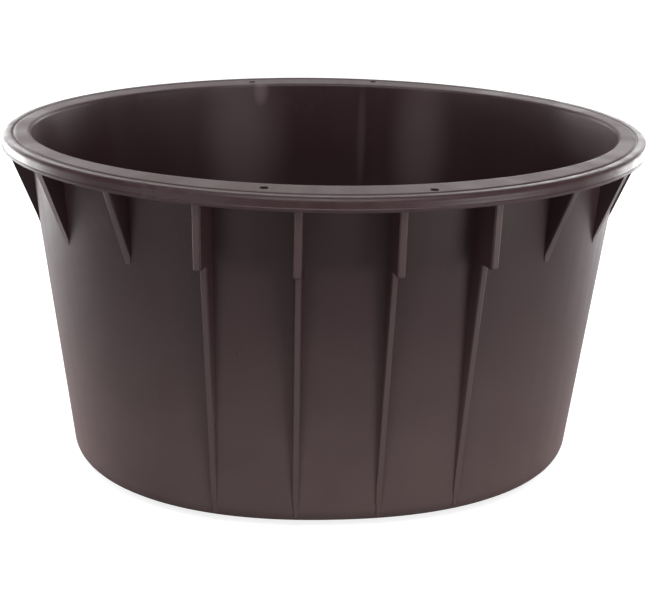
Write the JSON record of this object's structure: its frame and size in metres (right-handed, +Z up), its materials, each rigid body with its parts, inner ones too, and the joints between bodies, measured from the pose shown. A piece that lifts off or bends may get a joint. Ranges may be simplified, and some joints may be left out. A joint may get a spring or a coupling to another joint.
{
  "type": "oval tub",
  "caption": "Oval free-standing plastic tub with a wide flanged rim, small flange holes, under-rim gussets and stepped stacking ribs, for feed or water.",
  "frame": {"origin": "centre of the base, on the underside that rests on the ground", "axes": "+X along the tub's long axis, +Z up out of the mouth, -Y towards the pictured long side"},
  "size_m": [0.81, 0.625, 0.4325],
  "materials": {
    "tub_plastic": "very dark brown-black moulded plastic with a soft sheen and fine flow streaks",
    "rim_plastic": "the same plastic, a little lighter and smoother where the rim is handled"
  },
  "bodies": {
    "root": {"floor_panel": "tub_plastic", "base_corner": "tub_plastic", "side_wall": "tub_plastic", "rim_flange": "rim_plastic", "rim_bead": "rim_plastic", "stacking_rib_front_left_1": "tub_plastic", "stacking_rib_front_left_2": "tub_plastic", "stacking_rib_front_right_1": "tub_plastic", "stacking_rib_front_right_2": "tub_plastic", "stacking_rib_back_left_1": "tub_plastic", "stacking_rib_back_left_2": "tub_plastic", "stacking_rib_back_right_1": "tub_plastic", "stacking_rib_back_right_2": "tub_plastic", "gusset_front_left_1": "tub_plastic", "gusset_front_left_2": "tub_plastic", "gusset_front_left_3": "tub_plastic", "gusset_front_right_1": "tub_plastic", "gusset_front_right_2": "tub_plastic", "gusset_front_right_3": "tub_plastic", "gusset_back_left_1": "tub_plastic", "gusset_back_left_2": "tub_plastic", "gusset_back_left_3": "tub_plastic", "gusset_back_right_1": "tub_plastic", "gusset_back_right_2": "tub_plastic", "gusset_back_right_3": "tub_plastic"}
  },
  "joints": []
}
